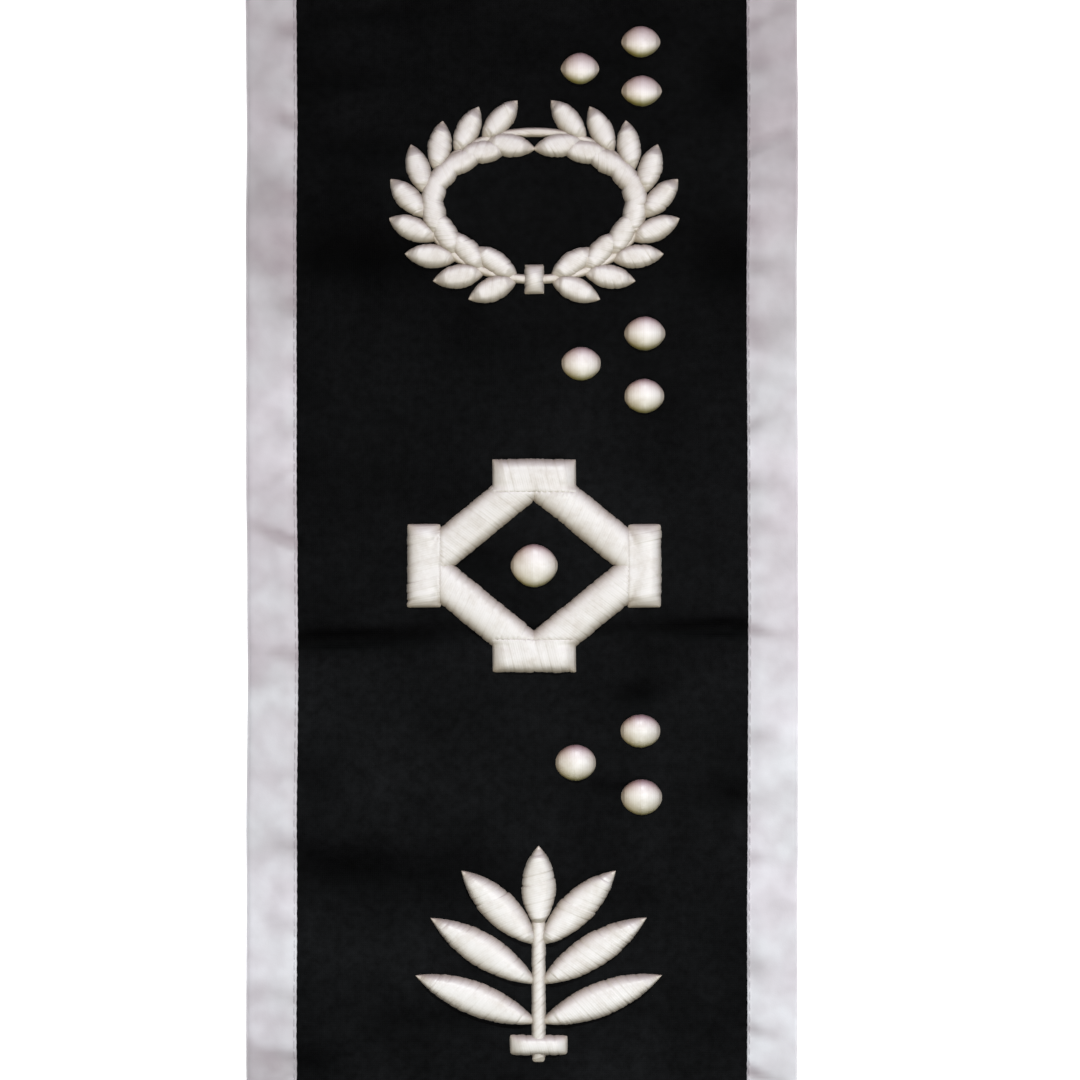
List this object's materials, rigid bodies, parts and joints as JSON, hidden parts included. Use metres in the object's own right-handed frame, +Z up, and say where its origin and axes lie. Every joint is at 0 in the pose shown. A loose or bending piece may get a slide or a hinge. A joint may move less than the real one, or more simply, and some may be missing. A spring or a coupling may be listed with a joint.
{
  "type": "masonic collar",
  "caption": "V-shaped regalia collar of black cloth with silver-grey ribbon borders and padded ivory embroidery on one front limb, lying flat, face up.",
  "frame": {"origin": "centre of the collar's bounding box, on the surface that it lies on", "axes": "+Z up from the surface through the collar's face, +Y from the point at the centre front towards the nape, +X towards the limb without embroidery"},
  "size_m": [0.4308, 0.6098, 0.0073],
  "materials": {
    "black_cloth": "matt black plain-weave cloth, very slightly bluish, with a faint weave and soft creases",
    "silver_ribbon": "satin silver-grey ribbon with a faint lavender cast, folded over the band's edges and topstitched",
    "ivory_thread": "lustrous ivory satin-stitch thread over padding"
  },
  "bodies": {
    "root": {"left_front_panel": "black_cloth", "right_front_panel": "black_cloth", "neck_panel": "black_cloth", "outer_border": "silver_ribbon", "inner_border": "silver_ribbon", "wreath": "ivory_thread", "lozenge": "ivory_thread", "centre_knot": "ivory_thread", "sprig": "ivory_thread", "dot_1a": "ivory_thread", "dot_1b": "ivory_thread", "dot_1c": "ivory_thread", "dot_2a": "ivory_thread", "dot_2b": "ivory_thread", "dot_2c": "ivory_thread", "dot_3a": "ivory_thread", "dot_3b": "ivory_thread", "dot_3c": "ivory_thread"}
  },
  "joints": []
}
